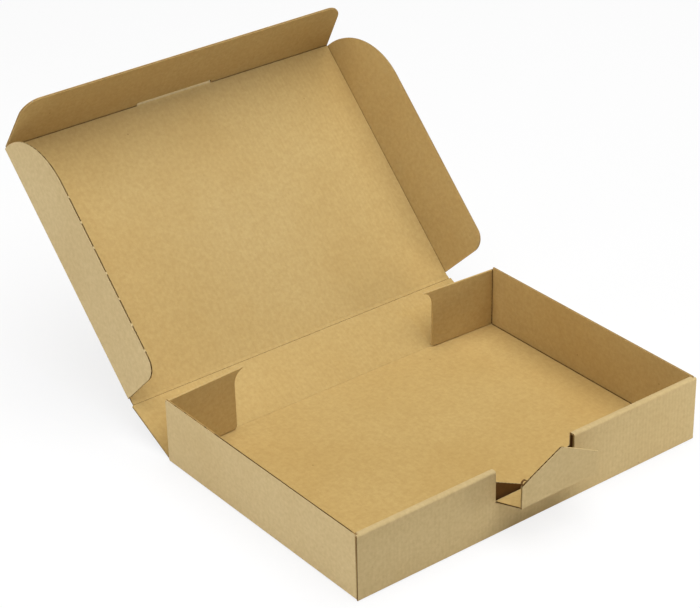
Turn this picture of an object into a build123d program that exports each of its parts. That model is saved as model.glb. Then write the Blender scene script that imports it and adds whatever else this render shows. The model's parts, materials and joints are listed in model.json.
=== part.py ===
"""Flat mailer box: one die-cut sheet of fine-flute brown board, folded up with its lid open.

The frame has X along the front, Y to the back and Z up, with its origin in the middle of the tray's
underside. Each panel that swings is a solid of its own, cut from its neighbour at the fold it turns on.
"""

import os
from math import cos, radians, sin

from build123d import *

# Board and tray, in millimetres
board = 1.6
width = 310.0
base_depth = 223.6
wall_height = 52.0
rear_gap = 3.0
fold_radius = 1.6
slip = 0.2
hair = 0.1

# Roll-over front wall: outer panel, hollow for the corner flaps, inner panel
roll_hollow = 2.0
roll_depth = 2 * board + roll_hollow
roll_end_gap = 0.6
roll_fold_radius = 1.2
corner_flap_length = 62.0
corner_flap_margin = 2.2
foot_tab_width = 32.0
foot_tab_spread = 76.0
foot_slot_gap = 0.3

# Lock tongue and the notch that it leaves in the front wall
notch_half = 36.0
notch_floor = 26.2
ledge_half = 35.4
ledge_length = 24.6
tip_half = 34.6
tip_shoulder = 17.0
tip_length = 34.4
tip_nose_radius = 2.0

# Rear panel, scored band of the lid's fold, lid, ears and tuck flap
rear_half = 152.6
rear_length = 49.6
score_width = 3.0
lid_half = 151.2
lid_length = 214.1
lip_half = 34.7
lip_reach = 2.4
slot_half = 35.0
slot_depth = 3.0
ear_height = 48.0
ear_rear_foot = 3.2
ear_rear_head = 4.4
ear_rear_radius = 13.0
ear_front = 213.4
ear_front_sweep = 55.0
ear_front_rise = 46.0
tuck_length = 50.2
tuck_half = 151.0
tuck_taper = 3.8
tuck_corner_radius = 15.0

# Rear flaps of the side walls
flap_foot = 2.0
flap_head = 50.0
flap_foot_length = 60.0
flap_foot_end = 2.6
flap_waist_length = 59.6
flap_waist_height = 41.0
flap_horn_length = 68.6
flap_horn_height = 51.5
flap_arc_height = 47.6
flap_arc_length = 62.2
flap_corner_radius = 3.0

# How far each fold stands open, in degrees: leans are from upright, towards the back
rear_lean = 64.7
score_fold = 9.75
tuck_fold = 76.2
left_ear_fold = 94.8
right_ear_fold = 73.8
ledge_lean = -73.9
tip_fold = 73.3
flap_splay = 1.8

# Places worked out from the sizes above
half_width = width / 2
front_y = -base_depth / 2
rear_y = base_depth / 2
side_front_y = front_y + board + slip
side_rear_y = rear_y - rear_gap - board
inner_wall_x = half_width - board
roll_half = inner_wall_x - roll_end_gap
inner_panel_y = front_y + board + roll_hollow
score_lean = rear_lean - score_fold
lid_lean = score_lean - score_fold
tuck_lean = lid_lean - tuck_fold
tip_lean = ledge_lean + tip_fold


def along(lean):
    return Vector(0, sin(radians(lean)), cos(radians(lean)))


def fold_plane(origin, lean):
    """A plane on a fold: local X runs along the fold, local Y up the panel that hangs on it."""
    direction = along(lean)
    return Plane(origin=origin, x_dir=(1, 0, 0), z_dir=Vector(1, 0, 0).cross(direction))


rear_origin = Vector(0, rear_y, board)
score_origin = rear_origin + along(rear_lean) * rear_length
lid_origin = score_origin + along(score_lean) * score_width
tuck_origin = lid_origin + along(lid_lean) * lid_length
ledge_origin = Vector(0, front_y, notch_floor)
ledge_outward = fold_plane(ledge_origin, ledge_lean).z_dir
tip_origin = ledge_origin + along(ledge_lean) * ledge_length - ledge_outward * board

os.makedirs("parts", exist_ok=True)


# Tray: floor, side walls with their front corner flaps, and the roll-over front wall
with BuildPart() as tray:
    # Floor and both side walls, as one channel along Y
    with BuildSketch(Plane.XZ.offset(-side_front_y)) as channel:
        with Locations((0, wall_height / 2)):
            Rectangle(width, wall_height)
        with Locations((0, wall_height / 2 + board)):
            Rectangle(2 * inner_wall_x, wall_height, mode=Mode.SUBTRACT)
        fillet(channel.vertices().group_by(Axis.Y)[0], fold_radius)
    extrude(amount=-(side_rear_y - side_front_y))

    # Strip of floor between the side walls' ends and the rear fold
    with BuildSketch(Plane.XY) as tail:
        with Locations((0, (side_rear_y + rear_y) / 2)):
            Rectangle(2 * rear_half, rear_y - side_rear_y)
    extrude(amount=board)

    # Front wall's outer panel, with the fold to the floor
    with BuildSketch(Plane.YZ.offset(-half_width)) as front_profile:
        with BuildLine():
            Polyline(
                (front_y, 0),
                (side_front_y, 0),
                (side_front_y, board),
                (front_y + board, board),
                (front_y + board, wall_height),
                (front_y, wall_height),
                close=True,
            )
        make_face()
        fold_corner = front_profile.vertices().group_by(Axis.X)[0].sort_by(Axis.Y)[0]
        fillet(fold_corner, fold_radius)
    extrude(amount=width)

    # Roll-over strip and inner panel, set inside the side walls
    with BuildSketch(Plane.YZ.offset(-roll_half)) as roll_profile:
        with BuildLine():
            Polyline(
                (front_y, wall_height),
                (front_y + roll_depth, wall_height),
                (front_y + roll_depth, board + slip),
                (inner_panel_y, board + slip),
                (inner_panel_y, wall_height - board),
                (front_y, wall_height - board),
                close=True,
            )
        make_face()
        rolled_edge = roll_profile.vertices().group_by(Axis.Y)[-1].sort_by(Axis.X)[-1]
        fillet(rolled_edge, roll_fold_radius)
    extrude(amount=2 * roll_half)

    # Corner flaps of the side walls, held in the hollow of the front wall
    for side in (-1, 1):
        flap_middle = side * (half_width - corner_flap_length / 2)
        flap_height = wall_height - board - 2 * corner_flap_margin
        with BuildSketch(Plane.XZ.offset(-side_front_y)) as corner_flap:
            with Locations((flap_middle, wall_height / 2)):
                Rectangle(corner_flap_length, flap_height)
        extrude(amount=-board)

    # Feet of the inner panel, pushed into slots of the floor
    for side in (-1, 1):
        tab_centre = (side * foot_tab_spread, inner_panel_y + board / 2)
        with BuildSketch(Plane.XY) as slot:
            with Locations(tab_centre):
                Rectangle(foot_tab_width + 2 * foot_slot_gap, board + 2 * foot_slot_gap)
        extrude(amount=board, mode=Mode.SUBTRACT)
        with BuildSketch(Plane.XY.offset(slip)) as foot:
            with Locations(tab_centre):
                Rectangle(foot_tab_width, board)
        extrude(amount=board)

    # Notch of the outer panel and the strip, and the tongue's outline cut from the inner panel
    with BuildSketch(Plane.XZ.offset(-front_y)) as notch:
        with Locations((0, notch_floor)):
            Rectangle(2 * notch_half, wall_height, align=(Align.CENTER, Align.MIN))
    extrude(amount=-(board + roll_hollow), mode=Mode.SUBTRACT)
    tip_start = roll_depth + wall_height - (notch_floor + ledge_length)
    tip_fall = wall_height - (tip_shoulder - tip_start)
    tip_point = wall_height - (tip_length - tip_start)
    with BuildSketch(Plane.XZ.offset(-inner_panel_y)) as tongue_cut:
        with BuildLine():
            Polyline(
                (-notch_half, wall_height + board),
                (-notch_half, tip_fall),
                (0, tip_point),
                (notch_half, tip_fall),
                (notch_half, wall_height + board),
                close=True,
            )
        make_face()
    extrude(amount=-board, mode=Mode.SUBTRACT)

    # Rounded top edge where the outer panel rolls over
    top_edges = tray.edges().filter_by(Axis.X).filter_by_position(Axis.Y, front_y - hair, front_y + hair)
    fillet(top_edges.filter_by_position(Axis.Z, wall_height - hair, wall_height + hair), roll_fold_radius)
tray.part.label = "tray"
export_step(tray.part, "parts/tray.step")


# Rear flaps, turned in from the side walls' ends
for side, name in ((-1, "left_rear_flap"), (1, "right_rear_flap")):
    splay = radians(flap_splay)
    flap_run = Vector(-side * cos(splay), sin(splay), 0)
    flap_fold = Plane(
        origin=(side * inner_wall_x, side_rear_y, 0),
        x_dir=flap_run,
        z_dir=flap_run.cross(Vector(0, 0, 1)),
    )
    with BuildPart() as rear_flap:
        with BuildSketch(flap_fold) as flap_outline:
            with BuildLine():
                Polyline((hair, flap_head), (hair, flap_foot), (flap_foot_length, flap_foot_end))
                Line((flap_foot_length, flap_foot_end), (flap_waist_length, flap_waist_height))
                ThreePointArc(
                    (flap_waist_length, flap_waist_height),
                    (flap_arc_length, flap_arc_height),
                    (flap_horn_length, flap_horn_height),
                )
                Line((flap_horn_length, flap_horn_height), (hair, flap_head))
            make_face()
            foot_corner = flap_outline.vertices().sort_by_distance((flap_foot_length, flap_foot_end, 0))[0]
            fillet(foot_corner, flap_corner_radius)
        extrude(amount=side * board)
    rear_flap.part.label = name
    export_step(rear_flap.part, f"parts/{name}.step")


# Rear panel, leaning back from the floor's rear fold
with BuildPart() as rear_panel:
    with BuildSketch(fold_plane(rear_origin, rear_lean)):
        with Locations((0, rear_length / 2)):
            Rectangle(2 * rear_half, rear_length - 2 * hair)
    extrude(amount=-board)
rear_panel.part.label = "rear_panel"
export_step(rear_panel.part, "parts/rear_panel.step")


# Scored band of the lid's fold, which bends along both its edges
with BuildPart() as lid_score:
    with BuildSketch(fold_plane(score_origin, score_lean)):
        with Locations((0, score_width / 2)):
            Rectangle(2 * lid_half, score_width - 2 * hair)
    extrude(amount=-board)
lid_score.part.label = "lid_score"
export_step(lid_score.part, "parts/lid_score.step")


# Lid panel, with the lip that stays behind when the tuck flap folds
with BuildPart() as lid_panel:
    with BuildSketch(fold_plane(lid_origin, lid_lean)):
        with Locations((0, lid_length / 2)):
            Rectangle(2 * lid_half, lid_length - 2 * hair)
        with Locations((0, lid_length - hair)):
            Rectangle(2 * lip_half, lip_reach + hair, align=(Align.CENTER, Align.MIN))
    extrude(amount=-board)
lid_panel.part.label = "lid_panel"
export_step(lid_panel.part, "parts/lid_panel.step")


# Ears, folded up along the lid's sides
for side, name, fold in ((-1, "left_ear", left_ear_fold), (1, "right_ear", right_ear_fold)):
    lid_inside = Vector(1, 0, 0).cross(along(lid_lean))
    ear_rise = Vector(side * cos(radians(fold)), 0, 0) + lid_inside * sin(radians(fold))
    ear_fold = Plane(
        origin=lid_origin + Vector(side * lid_half, 0, 0),
        x_dir=along(lid_lean),
        z_dir=along(lid_lean).cross(ear_rise),
    )
    sweep_centre = (ear_front - ear_front_sweep, ear_height - ear_front_rise)
    with BuildPart() as ear:
        with BuildSketch(ear_fold) as ear_outline:
            with BuildLine():
                Polyline((sweep_centre[0], ear_height), (ear_rear_head, ear_height), (ear_rear_foot, hair))
                Polyline((ear_rear_foot, hair), (ear_front, hair), (ear_front, sweep_centre[1]))
                EllipticalCenterArc(sweep_centre, ear_front_sweep, ear_front_rise, arc_size=90)
            make_face()
            rear_head = ear_outline.vertices().group_by(Axis.Y)[-1].sort_by(Axis.X)[0]
            fillet(rear_head, ear_rear_radius)
        extrude(amount=side * board)
    ear.part.label = name
    export_step(ear.part, f"parts/{name}.step")


# Tuck flap, with the slot that the lip leaves for the tongue's tip
with BuildPart() as tuck_flap:
    with BuildSketch(fold_plane(tuck_origin, tuck_lean)) as tuck_outline:
        with BuildLine():
            Polyline(
                (-tuck_half, hair),
                (-tuck_half + tuck_taper, tuck_length),
                (tuck_half - tuck_taper, tuck_length),
                (tuck_half, hair),
                close=True,
            )
        make_face()
        fillet(tuck_outline.vertices().group_by(Axis.Y)[-1], tuck_corner_radius)
        Rectangle(2 * slot_half, 2 * slot_depth, mode=Mode.SUBTRACT)
    extrude(amount=-board)
tuck_flap.part.label = "tuck_flap"
export_step(tuck_flap.part, "parts/tuck_flap.step")


# Lock tongue: the ledge that fills the notch, and its pointed tip
with BuildPart() as lock_ledge:
    with BuildSketch(fold_plane(ledge_origin, ledge_lean)):
        with BuildLine():
            Polyline(
                (-ledge_half, hair),
                (-tip_half, ledge_length - hair),
                (tip_half, ledge_length - hair),
                (ledge_half, hair),
                close=True,
            )
        make_face()
    extrude(amount=-board)
lock_ledge.part.label = "lock_ledge"
export_step(lock_ledge.part, "parts/lock_ledge.step")

with BuildPart() as lock_tip:
    with BuildSketch(fold_plane(tip_origin, tip_lean)) as tip_outline:
        with BuildLine():
            Polyline(
                (-tip_half, hair),
                (-tip_half, tip_shoulder),
                (0, tip_length),
                (tip_half, tip_shoulder),
                (tip_half, hair),
                close=True,
            )
        make_face()
        fillet(tip_outline.vertices().group_by(Axis.Y)[-1], tip_nose_radius)
    extrude(amount=board)
lock_tip.part.label = "lock_tip"
export_step(lock_tip.part, "parts/lock_tip.step")
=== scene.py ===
import json
from math import cos, pi, radians, sin

import bmesh
import bpy
from mathutils import Color, Matrix, Vector
from mathutils.geometry import intersect_line_line


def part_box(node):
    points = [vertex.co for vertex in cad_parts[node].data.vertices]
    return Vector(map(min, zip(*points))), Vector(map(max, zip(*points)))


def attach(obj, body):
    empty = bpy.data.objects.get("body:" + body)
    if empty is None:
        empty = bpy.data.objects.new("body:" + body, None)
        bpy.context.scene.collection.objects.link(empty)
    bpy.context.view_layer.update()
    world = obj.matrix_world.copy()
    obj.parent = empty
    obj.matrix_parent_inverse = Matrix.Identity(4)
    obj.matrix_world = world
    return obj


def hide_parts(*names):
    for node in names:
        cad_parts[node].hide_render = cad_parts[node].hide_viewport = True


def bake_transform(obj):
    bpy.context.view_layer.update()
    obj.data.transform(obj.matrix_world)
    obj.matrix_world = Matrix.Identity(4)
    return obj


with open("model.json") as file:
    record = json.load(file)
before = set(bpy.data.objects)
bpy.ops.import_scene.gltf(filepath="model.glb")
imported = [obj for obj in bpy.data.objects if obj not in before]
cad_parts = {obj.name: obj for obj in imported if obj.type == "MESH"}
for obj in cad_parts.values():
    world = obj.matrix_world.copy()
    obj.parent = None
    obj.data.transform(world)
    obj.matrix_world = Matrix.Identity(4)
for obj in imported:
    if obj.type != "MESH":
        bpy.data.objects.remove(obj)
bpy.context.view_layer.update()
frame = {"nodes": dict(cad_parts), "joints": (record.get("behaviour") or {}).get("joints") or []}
mm = 0.001
joints = {joint["name"]: joint for joint in frame["joints"]}
trayLow, trayHigh = (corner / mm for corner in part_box("tray"))
print("frame loaded:", len(frame["nodes"]), "panels,", len(joints), "folds")


# the sheet: two liners with a wavy paper between them, sizes in mm
sheet = {
    "thickness": 1.6,
    "liner": 0.3,
    "paper": 0.18,
    "pitch": 3.2,
    "waveSteps": 8,
    "waveInset": 0.15,
    "narrowInset": 0.25,
    "rim": 0.12,
    "uvScale": 0.01,
}
# creases: how far the inside liner stops short of the fold's line, where the bent board starts,
# how many steps it bends in, and how a face has to point to be an end or the round of it
crease = {
    "sharp": 0.02,
    "faint": 0.1,
    "fine": 0.22,
    "mid": 0.4,
    "open": 0.55,
    "shallowCore": 0.3,
    "deepCore": 0.55,
    "steps": 8,
    "endFacing": 0.5,
    "roundFacing": 0.9,
}
boardMm = sheet["thickness"]
sharpCrease, fineCrease, openCrease = crease["sharp"], crease["fine"], crease["open"]
inside, outside, flutingAndShade, cutEdge = range(4)
acrossAxis = Vector((1, 0, 0))
backwards = Vector((0, 1, 0))
upwards = Vector((0, 0, 1))
rightAngle = 90
hair = 1e-6  # two points closer than this are one


def pivot(name):
    return Vector(joints[name]["pos_m"])


def bendOf(name):  # a fold's upper limit is flat, so it is also how far the fold is bent now
    return joints[name]["range_deg"][1]


def placeOn(origin, runU, runV):
    place = Matrix((runU, runV, runU.cross(runV))).transposed().to_4x4()
    place.translation = origin
    return place


def runsOf(place):
    return (place.col[0].to_3d(), place.col[1].to_3d(), place.col[2].to_3d())


def foldedFrom(place, origin, bend):  # the next panel, bent from this one towards its w side
    runU, runV, runW = runsOf(place)
    return placeOn(origin, runU, runV * cos(radians(bend)) + runW * sin(radians(bend)))


def rectangle(left, right, low, high):
    return [(left, low), (right, low), (right, high), (left, high)]


def arc(centre, radii, fromAngle, toAngle, steps):
    points = []
    for step in range(steps + 1):
        angle = radians(fromAngle + (toAngle - fromAngle) * step / steps)
        points.append((centre[0] + radii[0] * cos(angle), centre[1] + radii[1] * sin(angle)))
    return points


def swept(centre, first, last, steps):  # the arc about a centre from one spoke to another
    turn = first.angle_signed(last)
    return [tuple(centre + Matrix.Rotation(-turn * step / steps, 2) @ first) for step in range(steps + 1)]


def roundedCorner(before, corner, after, radius, steps):  # the arc that rounds one corner of an outline
    corner = Vector(corner)
    toBefore = (Vector(before) - corner).normalized()
    toAfter = (Vector(after) - corner).normalized()
    halfAngle = toBefore.angle(toAfter) / 2
    centre = corner + (toBefore + toAfter).normalized() * (radius / sin(halfAngle))
    back = radius * cos(halfAngle) / sin(halfAngle)
    return swept(centre, corner + toBefore * back - centre, corner + toAfter * back - centre, steps)


def circleCentre(start, middle, end):  # where the bisectors of two chords cross
    ends = []
    for first, last in ((start, middle), (middle, end)):
        chordMiddle = (first + last) / 2
        ends += [chordMiddle.to_3d(), (chordMiddle + (last - first).orthogonal()).to_3d()]
    return intersect_line_line(*ends)[0].to_2d()


def arcThrough(start, middle, end, steps):
    centre = circleCentre(Vector(start), Vector(middle), Vector(end))
    return swept(centre, Vector(start) - centre, Vector(end) - centre, steps)


def trimmed(outline, folds):  # moves the points on a fold's line back from it
    points = []
    for point in outline:
        point = list(point)
        for axis, level, shift in folds:
            if abs(point[axis] - level) < hair:
                point[axis] = level + shift
        points.append(tuple(point))
    return points


def spanAt(outline, axis, level):  # where the outline starts and ends along one flute
    other = 1 - axis
    hits = []
    for start, end in zip(outline, outline[1:] + outline[:1]):
        low, high = sorted((start[axis], end[axis]))
        if low <= level <= high and high - low > hair:
            share = (level - start[axis]) / (end[axis] - start[axis])
            hits.append(start[other] + share * (end[other] - start[other]))
    return min(hits), max(hits)


def cutSlots(bm, slots):  # cuts rectangles out of a flat face
    for left, right, front, back in slots:
        lines = ((left, 0, acrossAxis), (right, 0, acrossAxis), (0, front, backwards), (0, back, backwards))
        for u, v, normal in lines:
            geometry = bm.verts[:] + bm.edges[:] + bm.faces[:]
            bmesh.ops.bisect_plane(bm, geom=geometry, dist=hair, plane_co=(u, v, 0), plane_no=normal)
        doomed = []
        for face in bm.faces:
            centre = face.calc_center_median()
            if left < centre.x < right and front < centre.y < back:
                doomed.append(face)
        bmesh.ops.delete(bm, geom=doomed, context="FACES")


def drawOut(bm, reach):  # gives what is drawn so far a thickness or a length
    grown = bmesh.ops.extrude_face_region(bm, geom=bm.faces[:])["geom"]
    lifted = [item for item in grown if isinstance(item, bmesh.types.BMVert)]
    bmesh.ops.translate(bm, verts=lifted, vec=reach)
    bmesh.ops.recalc_face_normals(bm, faces=bm.faces[:])


def spunSpoke(inner, outer, centre, axis, bend, steps):
    bm = bmesh.new()
    ends = [bm.verts.new(inner), bm.verts.new(outer)]
    spoke = bm.edges.new(ends)
    bmesh.ops.spin(bm, geom=ends + [spoke], cent=centre, axis=axis, angle=radians(bend), steps=steps)
    return bm


def covered(bm, skin):
    for face in bm.faces:
        face.material_index = skin
    return bm


def linerMesh(outline, level, thickness, skin, slots=()):
    bm = bmesh.new()
    bm.faces.new([bm.verts.new((u, v, level)) for u, v in outline])
    cutSlots(bm, slots)
    drawOut(bm, (0, 0, thickness))
    return covered(bm, skin)


def rimMesh(outline, level, thickness, skin):  # the crushed edge that closes a board all round
    bm = bmesh.new()
    middle = bm.faces.new([bm.verts.new((u, v, level)) for u, v in outline])
    middle.normal_update()
    width = sheet["rim"]
    bmesh.ops.inset_region(bm, faces=[middle], thickness=width, use_even_offset=True, use_boundary=True)
    bmesh.ops.delete(bm, geom=[middle], context="FACES_ONLY")
    drawOut(bm, (0, 0, thickness))
    return covered(bm, skin)


def flutingMesh(outline, axis, depth):
    # a grid of one strip per step, bent into a wave and trimmed to the outline
    levels = [point[axis] for point in outline]
    low, high = min(levels) + sheet["waveInset"], max(levels) - sheet["waveInset"]
    waves = max(1, round((high - low) / sheet["pitch"]))
    height = abs(depth) - 2 * sheet["liner"] - sheet["paper"]
    gridHalf = 0.5
    bm = bmesh.new()
    bmesh.ops.create_grid(bm, x_segments=waves * sheet["waveSteps"], y_segments=1, size=gridHalf)
    for vert in bm.verts:
        level = low + (vert.co.x + gridHalf) * (high - low)
        start, end = spanAt(outline, axis, level)
        inset = min(sheet["waveInset"], (end - start) * sheet["narrowInset"])
        along = start + inset if vert.co.y < 0 else end - inset
        lift = depth / 2 + height / 2 * sin(2 * pi * level / sheet["pitch"])
        vert.co = (level, along, lift) if axis == 0 else (along, level, lift)
    bmesh.ops.solidify(bm, geom=bm.faces[:], thickness=sheet["paper"])
    bmesh.ops.recalc_face_normals(bm, faces=bm.faces[:])
    return covered(bm, flutingAndShade)


def mapFlat(bm, axis):  # the first UV runs across the flutes and the second along them
    uv = bm.loops.layers.uv.new("flutes")
    for face in bm.faces:
        for loop in face.loops:
            across, along = loop.vert.co[axis], loop.vert.co[1 - axis]
            loop[uv].uv = (across * sheet["uvScale"], along * sheet["uvScale"])


def joinTo(piece, bm):
    scratch = bpy.data.meshes.new("scratch")
    bm.to_mesh(scratch)
    bm.free()
    piece.from_mesh(scratch)
    bpy.data.meshes.remove(scratch)


def gather(piece, bm, place, axis):  # moves a flat mesh to its place and adds it to the piece
    mapFlat(bm, axis)
    bmesh.ops.transform(bm, matrix=place @ Matrix.Diagonal((mm, mm, mm, 1)), verts=bm.verts[:])
    joinTo(piece, bm)


def linerOf(depth):  # a liner's thickness, towards the other liner
    return sheet["liner"] if depth > 0 else -sheet["liner"]


def addBoard(piece, place, outline, axis, depth, skins, folds=(), slots=(), waveOutline=None):
    # skins are the liners at w = 0 and at w = depth, and folds trim the liner that faces inside
    liner = linerOf(depth)
    for level, thickness, skin in ((0, liner, skins[0]), (depth, -liner, skins[1])):
        edge = trimmed(outline, folds) if skin == inside else outline
        gather(piece, linerMesh(edge, level, thickness, skin, slots), place, axis)
    gather(piece, flutingMesh(waveOutline or outline, axis, depth), place, axis)


def addFill(piece, place, outline, axis, depth, skin):  # paper pressed shut between the two liners
    liner = linerOf(depth)
    gather(piece, linerMesh(outline, liner, depth - 2 * liner, skin), place, axis)


def addRim(piece, place, outline, axis, depth, skin):
    liner = linerOf(depth)
    gather(piece, rimMesh(outline, liner, depth - 2 * liner, skin), place, axis)


def addFold(piece, centre, run, axis, start, bend, core=crease["shallowCore"]):
    # the rounded outside of a fold: a short spoke, spun about the fold's line and drawn out along it
    inner, outer = centre + start * core * mm, centre + start * boardMm * mm
    bm = spunSpoke(inner, outer, centre, axis, bend, crease["steps"])
    drawOut(bm, run)
    uv = bm.loops.layers.uv.new("flutes")
    alongRun = run.normalized()
    for face in bm.faces:
        spoke = face.calc_center_median() - centre
        spoke -= alongRun * spoke.dot(alongRun)
        onEnd = abs(face.normal.dot(alongRun)) >= crease["endFacing"]
        onRound = not onEnd and face.normal.dot(spoke.normalized()) > crease["roundFacing"]
        face.material_index = outside if onRound else cutEdge
        face.smooth = onRound
        for loop in face.loops:
            reach = loop.vert.co - centre
            across = reach.dot(alongRun) / mm * sheet["uvScale"]
            loop[uv].uv = (across, reach.length * sheet["uvScale"])
    for edge in bm.edges:
        edge.smooth = all(face.smooth for face in edge.link_faces)
    joinTo(piece, bm)


# materials: brown board paper, with fibres, specks and the faint stripes of the flutes beneath
def tone(red, green, blue):  # a colour as it looks on a screen, 0 to 255
    full = 255
    return (*Color((red / full, green / full, blue / full)).from_srgb_to_scene_linear(), 1.0)


class NodeDesk:
    def __init__(self, name):
        self.material = bpy.data.materials.new(name)
        self.material.use_nodes = True
        self.tree = self.material.node_tree
        self.shader = self.tree.nodes["Principled BSDF"]

    def add(self, kind, **settings):
        node = self.tree.nodes.new(kind)
        for key, value in settings.items():
            setattr(node, key, value)
        return node

    def feed(self, socket, value):
        if isinstance(value, bpy.types.NodeSocket):
            self.tree.links.new(value, socket)
        else:
            socket.default_value = value

    def math(self, operation, first, second):
        node = self.add("ShaderNodeMath", operation=operation)
        self.feed(node.inputs[0], first)
        self.feed(node.inputs[1], second)
        return node.outputs[0]

    def noise(self, coordinates, scale, detail, stretch=None):
        if stretch:
            mapping = self.add("ShaderNodeMapping")
            self.feed(mapping.inputs["Vector"], coordinates)
            mapping.inputs["Scale"].default_value = stretch
            coordinates = mapping.outputs["Vector"]
        node = self.add("ShaderNodeTexNoise")
        self.feed(node.inputs["Vector"], coordinates)
        node.inputs["Scale"].default_value = scale
        node.inputs["Detail"].default_value = detail
        return node.outputs["Fac"]

    def ramp(self, value, low, high):
        node = self.add("ShaderNodeMapRange")
        self.feed(node.inputs["Value"], value)
        node.inputs["From Min"].default_value = low
        node.inputs["From Max"].default_value = high
        return node.outputs["Result"]

    def mix(self, share, first, second):
        node = self.add("ShaderNodeMix", data_type="RGBA")
        self.feed(node.inputs["Factor"], share)
        self.feed(node.inputs["A"], first)
        self.feed(node.inputs["B"], second)
        return node.outputs["Result"]


def kraftPaper(name, look):
    desk = NodeDesk(name)
    coordinates = desk.add("ShaderNodeTexCoord")
    flutes = coordinates.outputs["UV"]
    place = coordinates.outputs["Object"]
    split = desk.add("ShaderNodeSeparateXYZ")
    desk.feed(split.inputs[0], flutes)

    clouds = desk.ramp(desk.noise(place, look["cloudScale"], look["cloudDetail"]), *look["softBand"])
    colour = desk.mix(desk.math("MULTIPLY", clouds, look["clouds"]), look["pale"], look["deep"])
    fibres = desk.noise(flutes, look["fibreScale"], look["detail"], look["fibreStretch"])
    fibres = desk.ramp(fibres, *look["fibreBand"])
    colour = desk.mix(desk.math("MULTIPLY", fibres, look["fibres"]), colour, look["dark"])

    mottle = desk.ramp(desk.noise(place, look["mottleScale"], look["detail"]), *look["softBand"])
    colour = desk.mix(desk.math("MULTIPLY", mottle, look["mottle"]), colour, look["dark"])

    pitch = sheet["pitch"] * sheet["uvScale"]
    wave = desk.math("SINE", desk.math("MULTIPLY", split.outputs["X"], 2 * pi / pitch), 0.0)
    stripes = desk.ramp(wave, -1.0, 1.0)
    colour = desk.mix(desk.math("MULTIPLY", stripes, look["stripes"]), colour, look["dark"])

    for scale, reach, share, strength in look["specks"]:
        cells = desk.add("ShaderNodeTexVoronoi")
        desk.feed(cells.inputs["Vector"], place)
        cells.inputs["Scale"].default_value = scale
        near = desk.ramp(cells.outputs["Distance"], reach, reach * look["speckCore"])
        pick = desk.add("ShaderNodeSeparateColor")
        desk.feed(pick.inputs[0], cells.outputs["Color"])
        some = desk.math("LESS_THAN", pick.outputs[0], share)
        fleck = desk.math("MULTIPLY", desk.math("MULTIPLY", near, some), strength)
        colour = desk.mix(fleck, colour, look["fleck"])
    desk.feed(desk.shader.inputs["Base Color"], colour)

    grain = desk.math("MULTIPLY", desk.noise(place, look["grainScale"], look["detail"]), look["grain"])
    ribs = desk.math("MULTIPLY", wave, look["ribs"])
    bump = desk.add("ShaderNodeBump")
    bump.inputs["Strength"].default_value = look["bump"]
    bump.inputs["Distance"].default_value = look["bumpHeight"]
    desk.feed(bump.inputs["Height"], desk.math("ADD", grain, ribs))
    desk.feed(desk.shader.inputs["Normal"], bump.outputs["Normal"])
    desk.shader.inputs["Roughness"].default_value = look["roughness"]
    desk.shader.inputs["Specular IOR Level"].default_value = look["specular"]
    return desk.material


kraftLook = {
    "pale": tone(196, 168, 109),
    "deep": tone(187, 156, 96),
    "dark": tone(158, 124, 70),
    "fleck": tone(120, 88, 46),
    "cloudScale": 11.0,
    "cloudDetail": 4.0,
    "clouds": 0.8,
    "softBand": (0.3, 0.7),
    "fibreScale": 70.0,
    "fibreStretch": (1.0, 6.0, 1.0),
    "fibreBand": (0.35, 0.65),
    "fibres": 0.16,
    "mottleScale": 330.0,
    "mottle": 0.3,
    "stripes": 0.03,
    "specks": ((150.0, 0.11, 0.010, 0.6), (420.0, 0.2, 0.02, 0.25)),  # scale, reach, share, strength
    "speckCore": 0.5,
    "grainScale": 900.0,
    "grain": 0.6,
    "detail": 3.0,
    "ribs": 0.25,
    "bump": 0.5,
    "bumpHeight": 0.00012,
    "roughness": 0.86,
    "specular": 0.1,
}
outsideLook = dict(
    kraftLook,
    pale=tone(204, 182, 135),
    deep=tone(193, 169, 121),
    dark=tone(163, 138, 90),
)
# the dark fluting paper, also used as painted shade on the inner panel's hollow face and in the gaps at the
# front corners
flutingAndShadeLook = dict(
    kraftLook,
    pale=tone(110, 78, 40),
    deep=tone(92, 64, 32),
    dark=tone(70, 48, 24),
    stripes=0.0,
    ribs=0.0,
)
edgeLook = dict(
    kraftLook,
    pale=tone(160, 130, 82),
    deep=tone(136, 104, 60),
    dark=tone(104, 76, 42),
    cloudScale=160.0,
    clouds=1.0,
    stripes=0.0,
    ribs=0.0,
)
papers = [
    kraftPaper("kraftInside", kraftLook),
    kraftPaper("kraftOutside", outsideLook),
    kraftPaper("kraftFlutingAndShade", flutingAndShadeLook),
    kraftPaper("kraftCutEdge", edgeLook),
]
print("papers ready:", len(papers))


def standPiece(name, piece):
    mesh = bpy.data.meshes.new(name)
    piece.to_mesh(mesh)
    piece.free()
    for paper in papers:
        mesh.materials.append(paper)
    stood = bpy.data.objects.new(name, mesh)
    bpy.context.scene.collection.objects.link(stood)
    return stood


def panel(name, node, piece):
    stood = standPiece(name, piece)
    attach(stood, node)
    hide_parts(node)


def movingFold(name, line, run, axis, start, bend, core=crease["shallowCore"]):
    # a fold's rounded outside as a piece of its own, standing at the fold's present bend
    piece = bmesh.new()
    addFold(piece, line, run, axis, start, bend, core)
    stood = standPiece(name, piece)
    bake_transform(stood)


def movingCrossFold(name, jointName, ends, axis, start, bend):  # one that runs from left to right
    left, right = ends
    line = pivot(jointName) + acrossAxis * left * mm
    movingFold(name, line, acrossAxis * (right - left) * mm, axis, start, bend)


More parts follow.
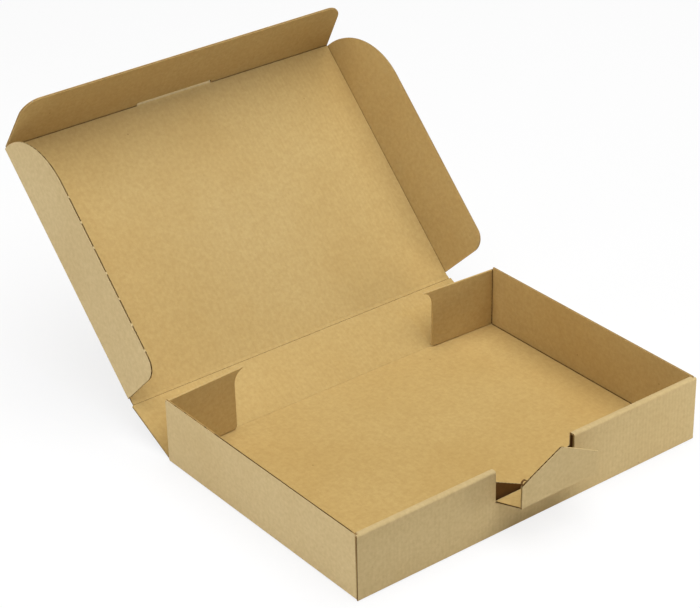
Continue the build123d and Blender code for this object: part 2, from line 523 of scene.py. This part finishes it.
# tray: floor, walls and the front wall that rolls over into a double one
tray = {
    "rearGap": 3.0,
    "rearHalf": 152.6,
    "slip": 0.2,
    "rollHollow": 2.0,
    "rollHalf": 152.8,
    "notchHalf": 36.0,
    "notchFloor": pivot("lock_ledge_fold").z / mm,
    "footSpread": 76.0,
    "footHalf": 16.0,
    "slotGap": 0.3,
    "cornerFlapReach": 93.0,
    "cornerFlapLow": 3.0,
    "cornerFlapHigh": 49.0,
    "frayStart": 46.0,
    "frayDepth": 0.9,
    "frays": 5,
    "frayGap": 2.4,
    "pressedEnd": 2.5,
    "shadeSheetReach": 154.8,
    "shadeSheetFoot": 0.3,
    "shadeSheetHead": 1.05,
    "webHalf": 154.4,
    "webReach": 2.2,
}
halfWidth = trayHigh.x
wallX = halfWidth - boardMm
frontY = trayLow.y
rearY = trayHigh.y
wallTop = trayHigh.z
foldY = frontY + boardMm
wallEndY = rearY - tray["rearGap"] - boardMm
hollowY = foldY + tray["slip"]
cornerY = hollowY + boardMm
innerY = foldY + tray["rollHollow"]
rollDepth = 2 * boardMm + tray["rollHollow"]
rollZ = wallTop - boardMm
floorPlace = placeOn(upwards * boardMm * mm, acrossAxis, backwards)


def addTrayFloor(piece):  # with the slots that hold the inner panel's feet
    rearHalf, slotGap = tray["rearHalf"], tray["slotGap"]
    outline = [(-wallX, foldY), (wallX, foldY), (wallX, wallEndY), (rearHalf, wallEndY)]
    outline += [(rearHalf, rearY), (-rearHalf, rearY), (-rearHalf, wallEndY), (-wallX, wallEndY)]
    slots = []
    for middle in (-tray["footSpread"], tray["footSpread"]):
        half = tray["footHalf"] + slotGap
        slots.append((middle - half, middle + half, innerY - slotGap, innerY + boardMm + slotGap))
    waveOutline = rectangle(-rearHalf, rearHalf, innerY + 2 * boardMm, rearY)
    folds = [(0, -wallX, openCrease), (0, wallX, -openCrease)]
    folds += [(1, foldY, fineCrease), (1, rearY, -crease["faint"])]
    addBoard(piece, floorPlace, outline, 0, -boardMm, (inside, outside), folds, slots, waveOutline)


def addSideWall(piece, side):
    wallPlace = placeOn(acrossAxis * side * wallX * mm, backwards, upwards)
    wallOutline = rectangle(cornerY, wallEndY, boardMm, wallTop)
    wallFolds = [(0, cornerY, fineCrease), (0, wallEndY, -openCrease), (1, boardMm, openCrease)]
    addBoard(piece, wallPlace, wallOutline, 1, side * boardMm, (inside, outside), wallFolds)
    footLine = Vector((side * wallX, hollowY, boardMm)) * mm
    footRun = backwards * (wallEndY - hollowY) * mm
    addFold(piece, footLine, footRun, backwards * -side, -upwards, rightAngle, crease["deepCore"])

    # the left wall's top edge is open in front and frayed behind, the right one is crushed shut
    pressed = [(cornerY, wallEndY)]
    if side < 0:
        fray = (wallEndY - tray["frayStart"]) / tray["frays"]
        pressed = [(cornerY, cornerY + tray["pressedEnd"])]
        for step in range(tray["frays"]):
            start = tray["frayStart"] + step * fray
            pressed.append((start + tray["frayGap"], start + fray))
    for start, end in pressed:
        edgeOutline = rectangle(start, end, wallTop - tray["frayDepth"], wallTop)
        addFill(piece, wallPlace, edgeOutline, 1, side * boardMm, cutEdge)

    # a thin sheet of the dark paper stands in the corner behind the front wall's end, wider at the top:
    # painted shade of the gap there
    shadeSheetOutline = [(foldY, boardMm), (foldY + tray["shadeSheetFoot"], boardMm)]
    shadeSheetOutline += [(foldY + tray["shadeSheetHead"], rollZ), (foldY, rollZ)]
    shadeSheetPlace = placeOn(acrossAxis * side * tray["shadeSheetReach"] * mm, backwards, upwards)
    gather(piece, linerMesh(shadeSheetOutline, 0, -side * sheet["paper"], flutingAndShade), shadeSheetPlace, 1)

    # the floor's corner behind the wall, under the rear flap's foot
    webStart = side * tray["rearHalf"]
    web = [(webStart, wallEndY), (side * tray["webHalf"], wallEndY), (webStart, wallEndY + tray["webReach"])]
    gather(piece, linerMesh(web, 0, -boardMm, inside), floorPlace, 0)

    # the corner flap that reaches into the front wall
    low, high, reach = tray["cornerFlapLow"], tray["cornerFlapHigh"], tray["cornerFlapReach"]
    flapPlace = placeOn(backwards * hollowY * mm, acrossAxis, upwards)
    flapOutline = rectangle(side * wallX, side * reach, low, high)
    addBoard(piece, flapPlace, flapOutline, 1, -boardMm, (outside, inside))
    cornerLine = Vector((side * wallX, cornerY, boardMm)) * mm
    cornerRun = upwards * (wallTop - boardMm) * mm
    addFold(piece, cornerLine, cornerRun, upwards * -side, acrossAxis * side, rightAngle)


def addFrontFold(piece, ends, y, z, start):  # a square fold along the front wall
    left, right = sorted(ends)
    line = Vector((left, y, z)) * mm
    addFold(piece, line, acrossAxis * (right - left) * mm, -acrossAxis, start, rightAngle)


def addFrontWall(piece):
    # outer panel, with the notch that the lock tongue folds out of
    notchHalf, notchFloor = tray["notchHalf"], tray["notchFloor"]
    outerOutline = [(-halfWidth, boardMm), (halfWidth, boardMm), (halfWidth, rollZ), (notchHalf, rollZ)]
    outerOutline += [(notchHalf, notchFloor), (-notchHalf, notchFloor)]
    outerOutline += [(-notchHalf, rollZ), (-halfWidth, rollZ)]
    outerPlace = placeOn(backwards * frontY * mm, acrossAxis, upwards)
    addBoard(piece, outerPlace, outerOutline, 0, -boardMm, (outside, inside))
    addFrontFold(piece, (-halfWidth, halfWidth), foldY, boardMm, -upwards)

    # inner panel: feet in the floor's slots, and a notch where the tongue's tip was cut from it
    tipStart = rollDepth + wallTop - notchFloor - ledgeLength
    tipFall = wallTop - (tongue["shoulder"] - tipStart)
    tipPoint = wallTop - (tongue["length"] - tipStart)
    rollHalf, footLow, panelLow = tray["rollHalf"], tray["slip"], boardMm + tray["slip"]
    innerOutline = [(-rollHalf, panelLow)]
    for middle in (-tray["footSpread"], tray["footSpread"]):
        start, end = middle - tray["footHalf"], middle + tray["footHalf"]
        innerOutline += [(start, panelLow), (start, footLow), (end, footLow), (end, panelLow)]
    innerOutline += [(rollHalf, panelLow), (rollHalf, rollZ), (notchHalf, rollZ), (notchHalf, tipFall)]
    innerOutline += [(0, tipPoint), (-notchHalf, tipFall), (-notchHalf, rollZ), (-rollHalf, rollZ)]
    innerPlace = placeOn(backwards * innerY * mm, acrossAxis, upwards)
    # its face towards the hollow takes the dark fluting paper: painted shade where it shows through the
    # notch
    addBoard(piece, innerPlace, innerOutline, 0, -boardMm, (flutingAndShade, outside))

    # the strip on top, at both sides of the notch, with its end closed by the side wall
    stripPlace = placeOn(upwards * wallTop * mm, acrossAxis, backwards)
    for side in (-1, 1):
        notchEnd, rollEnd, wallEnd = side * notchHalf, side * rollHalf, side * halfWidth
        stripOutline = rectangle(notchEnd, rollEnd, foldY, innerY)
        addBoard(piece, stripPlace, stripOutline, 0, -boardMm, (outside, inside))
        closedOutline = rectangle(side * wallX, rollEnd - side * boardMm, foldY, innerY)
        addFill(piece, stripPlace, closedOutline, 0, -boardMm, outside)
        addFrontFold(piece, (notchEnd, rollEnd), innerY, rollZ, upwards)
        addFrontFold(piece, (notchEnd, wallEnd), foldY, rollZ, -backwards)


def buildTray():
    piece = bmesh.new()
    addTrayFloor(piece)
    for side in (-1, 1):
        addSideWall(piece, side)
    addFrontWall(piece)
    panel("tray_board", "tray", piece)


# rear flaps on the side walls' ends
rearFlap = {
    "splay": 1.8,
    "foot": 2.0,
    "head": 50.0,
    "footCorner": (60.0, 2.6),
    "waist": (59.6, 41.0),
    "horn": (68.6, 51.5),
    "curve": (62.2, 47.6),
    "footRadius": 3.0,
    "roundSteps": 10,
}


def buildRearFlap(side, name):
    splay = radians(rearFlap["splay"])
    corner = pivot(name + "_fold")
    foot, head = rearFlap["foot"], rearFlap["head"]
    waist, footCorner = rearFlap["waist"], rearFlap["footCorner"]
    outline = [(0, head), (0, foot)]
    outline += roundedCorner((0, foot), footCorner, waist, rearFlap["footRadius"], rearFlap["roundSteps"])
    # the horn flares out from the waist on a hollow curve
    outline += arcThrough(waist, rearFlap["curve"], rearFlap["horn"], rearFlap["roundSteps"])
    place = placeOn(corner, Vector((-side * cos(splay), sin(splay), 0)), upwards)
    piece = bmesh.new()
    addBoard(piece, place, outline, 1, side * boardMm, (inside, outside), [(0, 0, openCrease)])
    addRim(piece, place, outline, 1, side * boardMm, inside)
    panel(name + "_board", name, piece)
    line = corner + upwards * boardMm * mm
    run = upwards * (head - boardMm) * mm
    bend = rightAngle - rearFlap["splay"]
    start = acrossAxis * side
    movingFold(name + "_crease", line, run, upwards * side, start, bend, crease["deepCore"])


# rear panel, the score of the lid's fold and the lid with its lip
lid = {"rearHalf": 152.6, "half": 151.2, "lipHalf": 34.7, "lipReach": 2.4, "lipHighlightFilm": 0.03}


def placeBetween(lowerName, upperName):
    rise = pivot(upperName) - pivot(lowerName)
    return placeOn(pivot(lowerName), acrossAxis, rise.normalized()), rise.length / mm


rearPlace, rearLength = placeBetween("rear_panel_fold", "lid_score_lower_fold")
scorePlace, scoreLength = placeBetween("lid_score_lower_fold", "lid_score_upper_fold")
lidPlace, lidLength = placeBetween("lid_score_upper_fold", "tuck_fold")


def bothEnds(length, low, high):
    return [(1, 0, low), (1, length, -high)]


def buildLid():
    rearHalf, half, lipHalf = lid["rearHalf"], lid["half"], lid["lipHalf"]
    piece = bmesh.new()
    outline = rectangle(-rearHalf, rearHalf, 0, rearLength)
    folds = bothEnds(rearLength, sharpCrease, sharpCrease)
    addBoard(piece, rearPlace, outline, 0, -boardMm, (inside, outside), folds)
    panel("rear_panel_board", "rear_panel", piece)

    piece = bmesh.new()
    outline = rectangle(-half, half, 0, scoreLength)
    folds = bothEnds(scoreLength, fineCrease, sharpCrease)
    addBoard(piece, scorePlace, outline, 0, -boardMm, (inside, outside), folds)
    panel("lid_score_board", "lid_score", piece)

    piece = bmesh.new()
    lipEnd = lidLength + lid["lipReach"]
    outline = [(-half, 0), (half, 0), (half, lidLength), (lipHalf, lidLength), (lipHalf, lipEnd)]
    outline += [(-lipHalf, lipEnd), (-lipHalf, lidLength), (-half, lidLength)]
    folds = bothEnds(lidLength, sharpCrease, crease["mid"])
    folds += [(0, -half, fineCrease), (0, half, -fineCrease)]
    addBoard(piece, lidPlace, outline, 0, -boardMm, (inside, outside), folds)
    # a thin film of the paler outside paper on the lip is a painted highlight, for the light that reaches it
    # through the tuck's slot
    lipHighlightOutline = rectangle(-lipHalf, lipHalf, lidLength + sheet["paper"], lipEnd)
    gather(piece, linerMesh(lipHighlightOutline, 0, lid["lipHighlightFilm"], outside), lidPlace, 0)
    panel("lid_board", "lid_panel", piece)

    rearNormal, scoreNormal = -runsOf(rearPlace)[2], -runsOf(scorePlace)[2]
    for name, jointName, bodies, reach, normal in (
        ("rear_crease", "rear_panel_fold", ("tray", "rear_panel"), rearHalf, -upwards),
        ("lid_score_lower_crease", "lid_score_lower_fold", ("rear_panel", "lid_score"), half, rearNormal),
        ("lid_score_upper_crease", "lid_score_upper_fold", ("lid_score", "lid_panel"), half, scoreNormal),
    ):
        movingCrossFold(name, jointName, (-reach, reach), acrossAxis, normal, bendOf(jointName))


# ears along the lid's sides
ear = {
    "height": 48.0,
    "rearFoot": 3.2,
    "rearHead": 4.4,
    "rearRadius": 13.0,
    "front": 213.4,
    "sweep": 55.0,
    "rise": 46.0,
    "rearSteps": 10,
    "frontSteps": 24,
    "ties": 7,
    "tieStart": 22.0,
    "tieStep": 21.0,
    "tieLength": 1.8,
    "tieDepth": 0.9,
}


def buildEar(side, name):
    bend = bendOf(name + "_fold")
    runX, runLid, runIn = runsOf(lidPlace)
    rise = runX * side * cos(radians(bend)) + runIn * sin(radians(bend))
    corner = pivot(name + "_fold")
    height = ear["height"]
    foot, head = (ear["rearFoot"], 0), (ear["rearHead"], height)
    sweepCentre = (ear["front"] - ear["sweep"], height - ear["rise"])
    outline = [foot, (ear["front"], 0)]
    outline += arc(sweepCentre, (ear["sweep"], ear["rise"]), 0, rightAngle, ear["frontSteps"])
    outline += roundedCorner(outline[-1], head, foot, ear["rearRadius"], ear["rearSteps"])
    piece = bmesh.new()
    place = placeOn(corner, runLid, rise)
    addBoard(piece, place, outline, 1, side * boardMm, (inside, outside), [(1, 0, fineCrease)])
    if side > 0:
        addRim(piece, place, outline, 1, side * boardMm, cutEdge)
    # the cutting rule leaves a pale tie at even steps along the left ear's open edge
    for tie in range(ear["ties"] if side < 0 else 0):
        start = ear["tieStart"] + tie * ear["tieStep"]
        tieOutline = rectangle(start, start + ear["tieLength"], height - ear["tieDepth"], height)
        addFill(piece, place, tieOutline, 1, side * boardMm, outside)
    panel(name + "_board", name, piece)
    line = corner + runLid * ear["rearFoot"] * mm
    run = runLid * (ear["front"] - ear["rearFoot"]) * mm
    movingFold(name + "_crease", line, run, runLid * -side, -runIn, bend)


# tuck flap, with the slot that the lip leaves
tuck = {
    "half": 151.0,
    "length": 50.2,
    "taper": 3.8,
    "cornerRadius": 15.0,
    "slotHalf": 35.0,
    "slotDepth": 3.0,
    "roundSteps": 12,
}


def buildTuck():
    bend = bendOf("tuck_fold")
    half, length, slotHalf, slotDepth = tuck["half"], tuck["length"], tuck["slotHalf"], tuck["slotDepth"]
    top = half - tuck["taper"]
    rounding = (tuck["cornerRadius"], tuck["roundSteps"])
    outline = [(slotHalf, 0), (half, 0)]
    outline += roundedCorner((half, 0), (top, length), (-top, length), *rounding)
    outline += roundedCorner((top, length), (-top, length), (-half, 0), *rounding)
    outline += [(-half, 0), (-slotHalf, 0), (-slotHalf, slotDepth), (slotHalf, slotDepth)]
    piece = bmesh.new()
    place = foldedFrom(lidPlace, pivot("tuck_fold"), bend)
    addBoard(piece, place, outline, 0, -boardMm, (inside, outside), [(1, 0, crease["mid"])])
    addRim(piece, place, outline, 0, -boardMm, cutEdge)
    panel("tuck_board", "tuck_flap", piece)
    lidNormal = -runsOf(lidPlace)[2]
    for name, ends in (("tuck_crease_left", (-half, -slotHalf)), ("tuck_crease_right", (slotHalf, half))):
        movingCrossFold(name, "tuck_fold", ends, acrossAxis, lidNormal, bend)


# lock tongue: the ledge in the notch and its pointed tip
tongue = {
    "ledgeHalf": 35.4,
    "half": 34.6,
    "shoulder": 17.0,
    "length": 34.4,
    "nose": 2.0,
    "noseSteps": 6,
    "pressedStart": 3.0,
    "pressedDepth": 0.8,
    "curlPlace": (-33.0, 19.7, 0.4),
    "curlInner": 1.6,
    "curlOuter": 2.3,
    "curlFrom": 25.0,
    "curlTurn": 315.0,
    "curlSteps": 20,
    "curlWidth": 1.15,
}
ledgeRise = pivot("lock_tip_fold") - pivot("lock_ledge_fold")
ledgeLength = (ledgeRise.length_squared / mm**2 - boardMm**2) ** 0.5


def addCurl(piece, place):  # a thread of the fluting that has sprung out of the tip's cut edge
    centre = Vector(tongue["curlPlace"])
    first = Vector((cos(radians(tongue["curlFrom"])), sin(radians(tongue["curlFrom"])), 0))
    inner, outer = centre + first * tongue["curlInner"], centre + first * tongue["curlOuter"]
    bm = spunSpoke(inner, outer, centre, upwards, tongue["curlTurn"], tongue["curlSteps"])
    drawOut(bm, (0, 0, tongue["curlWidth"]))
    gather(piece, covered(bm, flutingAndShade), place, 0)


def buildTongue():
    frontPlace = placeOn(pivot("lock_ledge_fold"), acrossAxis, upwards)
    lean = -joints["lock_ledge_fold"]["range_deg"][0]
    ledgePlace = foldedFrom(frontPlace, pivot("lock_ledge_fold"), lean)
    ledgeHalf, tipHalf = tongue["ledgeHalf"], tongue["half"]
    outline = [(-ledgeHalf, 0), (ledgeHalf, 0), (tipHalf, ledgeLength), (-tipHalf, ledgeLength)]
    piece = bmesh.new()
    addBoard(piece, ledgePlace, outline, 0, -boardMm, (outside, inside), [(1, ledgeLength, -sharpCrease)])
    panel("lock_ledge_board", "lock_ledge", piece)

    tipBend = bendOf("lock_tip_fold")
    tipPlace = foldedFrom(ledgePlace, pivot("lock_tip_fold"), -tipBend)
    shoulder, length = tongue["shoulder"], tongue["length"]
    leftShoulder, rightShoulder = (-tipHalf, shoulder), (tipHalf, shoulder)
    outline = [(-tipHalf, 0), (tipHalf, 0), rightShoulder]
    outline += roundedCorner(rightShoulder, (0, length), leftShoulder, tongue["nose"], tongue["noseSteps"])
    outline.append(leftShoulder)
    piece = bmesh.new()
    addBoard(piece, tipPlace, outline, 0, boardMm, (inside, outside), [(1, 0, sharpCrease)])
    addCurl(piece, tipPlace)
    # the right slope of the tip is pressed shut
    near, deep = tongue["pressedStart"], tongue["pressedDepth"]
    top = length - (length - shoulder) / tipHalf * near
    pressed = [(near, top - deep), (tipHalf, shoulder - deep), rightShoulder, (near, top)]
    addFill(piece, tipPlace, pressed, 0, boardMm, outside)
    panel("lock_tip_board", "lock_tip", piece)

    ends = (-ledgeHalf, ledgeHalf)
    movingCrossFold("lock_ledge_crease", "lock_ledge_fold", ends, acrossAxis, backwards, lean)
    ends = (-tipHalf, tipHalf)
    ledgeOut = runsOf(ledgePlace)[2]
    movingCrossFold("lock_tip_crease", "lock_tip_fold", ends, -acrossAxis, ledgeOut, tipBend)


buildTray()
for side, sideName in ((-1, "left"), (1, "right")):
    buildRearFlap(side, sideName + "_rear_flap")
    buildEar(side, sideName + "_ear")
buildLid()
buildTuck()
buildTongue()


# floor, soft studio light and the camera of the photograph
studio = {
    "floorHalf": 4.0,
    "floorDrop": 0.0002,
    "floorColour": (0.87, 0.87, 0.87, 1.0),
    "floorGlow": 0.82,
    "worldStrength": 0.03,
    "worldGlow": 1.0,
    "white": (1.0, 1.0, 1.0, 1.0),
    "ceilingPlace": (0.1, -0.4, 2.4),
    "ceilingSize": 3.0,
    "ceilingPower": 97.0,
    "sidePlace": (-1.8, 0.1, 0.3),
    "sideSize": 0.55,
    "sidePower": 12.0,
    "sideColour": (0.98, 1.0, 1.1),
    "aim": (0.0, 0.05, 0.05),
    "frontPlace": (0.5, -0.5, 0.1),
    "frontSize": 0.25,
    "frontPower": 0.13,
    "frontAim": (0.17, -0.11, 0.02),
    "frontSpread": 50.0,
    "lidPlace": (0.0, -1.1, 1.25),
    "lidSize": 0.1,
    "lidPower": 0.045,
    "lidColour": (0.1, 0.33, 1.0),
    "lidAim": (0.0, 0.215, 0.115),
    "lidSpread": 14.0,
}


def lamp(name, place, size, power, aim=studio["aim"], colour=(1, 1, 1), spread=180):
    light = bpy.data.lights.new(name, "AREA")
    light.size = size
    light.energy = power
    light.color = colour
    light.spread = radians(spread)
    stand = bpy.data.objects.new(name, light)
    stand.location = place
    stand.rotation_euler = (Vector(aim) - Vector(place)).to_track_quat("-Z", "Y").to_euler()
    bpy.context.scene.collection.objects.link(stand)


def showWhite(tree, plain, white, glow, output):
    # mixes in a white that the camera sees, straight, by gloss or through glass, and that lights nothing
    rays = tree.nodes.new("ShaderNodeLightPath")
    seen = rays.outputs["Is Camera Ray"]
    for kind in ("Is Glossy Ray", "Is Transmission Ray"):
        either = tree.nodes.new("ShaderNodeMath")
        either.operation = "MAXIMUM"
        tree.links.new(seen, either.inputs[0])
        tree.links.new(rays.outputs[kind], either.inputs[1])
        seen = either.outputs[0]
    share = tree.nodes.new("ShaderNodeMath")
    share.operation = "MULTIPLY"
    share.inputs[1].default_value = glow
    both = tree.nodes.new("ShaderNodeMixShader")
    tree.links.new(seen, share.inputs[0])
    tree.links.new(share.outputs[0], both.inputs[0])
    tree.links.new(plain.outputs[0], both.inputs[1])
    tree.links.new(white.outputs[0], both.inputs[2])
    tree.links.new(both.outputs[0], tree.nodes[output].inputs["Surface"])


def buildFloor():
    bm = bmesh.new()
    bmesh.ops.create_grid(bm, x_segments=1, y_segments=1, size=studio["floorHalf"])
    bmesh.ops.translate(bm, verts=bm.verts[:], vec=(0, 0, -studio["floorDrop"]))
    mesh = bpy.data.meshes.new("floor")
    bm.to_mesh(mesh)
    bm.free()
    paint = bpy.data.materials.new("floorPaint")
    paint.use_nodes = True
    shader = paint.node_tree.nodes["Principled BSDF"]
    shader.inputs["Base Color"].default_value = studio["floorColour"]
    shader.inputs["Roughness"].default_value = 1.0
    shader.inputs["Specular IOR Level"].default_value = 0.0
    white = paint.node_tree.nodes.new("ShaderNodeEmission")
    showWhite(paint.node_tree, shader, white, studio["floorGlow"], "Material Output")
    mesh.materials.append(paint)
    floor = bpy.data.objects.new("floor", mesh)
    bpy.context.scene.collection.objects.link(floor)


def buildWorld():
    world = bpy.data.worlds.new("studio")
    world.use_nodes = True
    sky = world.node_tree.nodes["Background"]
    sky.inputs["Strength"].default_value = studio["worldStrength"]
    white = world.node_tree.nodes.new("ShaderNodeBackground")
    for node in (sky, white):
        node.inputs["Color"].default_value = studio["white"]
    showWhite(world.node_tree, sky, white, studio["worldGlow"], "World Output")
    bpy.context.scene.world = world


def buildLamps():
    lamp("ceilingBox", studio["ceilingPlace"], studio["ceilingSize"], studio["ceilingPower"])
    side = (studio["sidePlace"], studio["sideSize"], studio["sidePower"])
    lamp("sideBox", *side, colour=studio["sideColour"])
    front = (studio["frontPlace"], studio["frontSize"], studio["frontPower"])
    lamp("frontBox", *front, aim=studio["frontAim"], spread=studio["frontSpread"])
    # a faint cool light on the open lid alone
    lidFill = (studio["lidPlace"], studio["lidSize"], studio["lidPower"], studio["lidAim"])
    lamp("lidBox", *lidFill, colour=studio["lidColour"], spread=studio["lidSpread"])


# the view was solved from the box's own edges in the photograph
viewpoint = {
    "eye": (-0.90188, -1.07687, 0.90203),
    "azimuth": 37.662,
    "elevation": 29.082,
    "roll": -1.145,
    "focalPixels": 2299.04,
    "imageWidth": 700.0,
    "sensor": 36.0,
}


def buildCamera():
    azimuth, elevation = radians(viewpoint["azimuth"]), radians(viewpoint["elevation"])
    forward = Vector((sin(azimuth) * cos(elevation), cos(azimuth) * cos(elevation), -sin(elevation)))
    right = Vector((cos(azimuth), -sin(azimuth), 0))
    up = right.cross(forward)
    level = Matrix((right, up, -forward)).transposed().to_4x4()
    roll = Matrix.Rotation(radians(viewpoint["roll"]), 4, "Z")
    view = bpy.data.cameras.new("camera")
    view.sensor_width = viewpoint["sensor"]
    view.lens = viewpoint["focalPixels"] * viewpoint["sensor"] / viewpoint["imageWidth"]
    stand = bpy.data.objects.new("camera", view)
    stand.matrix_world = Matrix.Translation(viewpoint["eye"]) @ level @ roll
    bpy.context.scene.collection.objects.link(stand)
    bpy.context.scene.camera = stand


buildFloor()
buildWorld()
buildLamps()
buildCamera()
bpy.context.scene.view_settings.view_transform = "Standard"
print("studio and camera ready")
